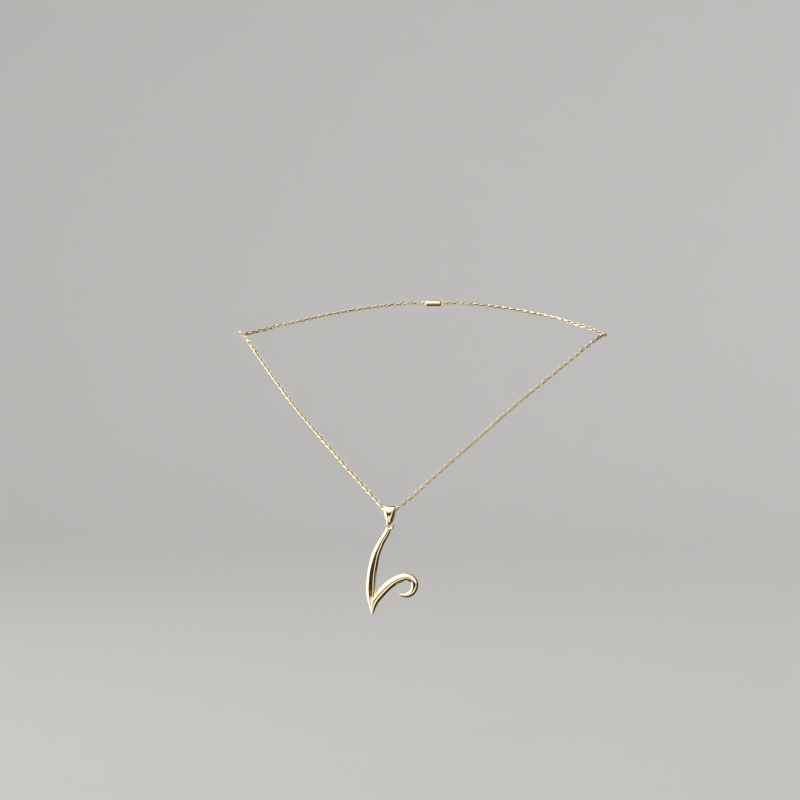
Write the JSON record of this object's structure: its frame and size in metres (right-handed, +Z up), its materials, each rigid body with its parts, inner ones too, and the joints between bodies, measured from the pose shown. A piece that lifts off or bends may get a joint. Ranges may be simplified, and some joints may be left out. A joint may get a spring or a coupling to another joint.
{
  "type": "initial pendant on a necklace chain",
  "caption": "Domed script initial hanging from a tapered bail on a fine cable chain, closed by a plain clasp, in the form in which it is worn.",
  "frame": {"origin": "middle of the neck loop, level with where the chain crosses the shoulders, at the mount neck", "axes": "+X to the wearer's left, +Y to the wearer's back, +Z up along the neck; the letter faces -Y"},
  "size_m": [0.1672, 0.103, 0.1363],
  "materials": {
    "polished_gold": "mirror-polished pale yellow gold",
    "chain_gold": "diamond-cut yellow gold",
    "clasp_gold": "polished yellow gold"
  },
  "bodies": {
    "necklace": {"chain": "chain_gold", "clasp": "clasp_gold"},
    "bail": {"bail": "polished_gold"},
    "letter": {"letter": "polished_gold"}
  },
  "joints": [
    {"name": "bail_swing", "type": "hinge", "parent": "necklace", "child": "bail", "pos_m": [0, -0.066, -0.0758], "axis": [1, 0, 0], "range_deg": [-90, 90]},
    {"name": "letter_swing", "type": "hinge", "parent": "bail", "child": "letter", "pos_m": [0, -0.066, -0.0816], "axis": [1, 0, 0], "range_deg": [-40, 40]}
  ]
}
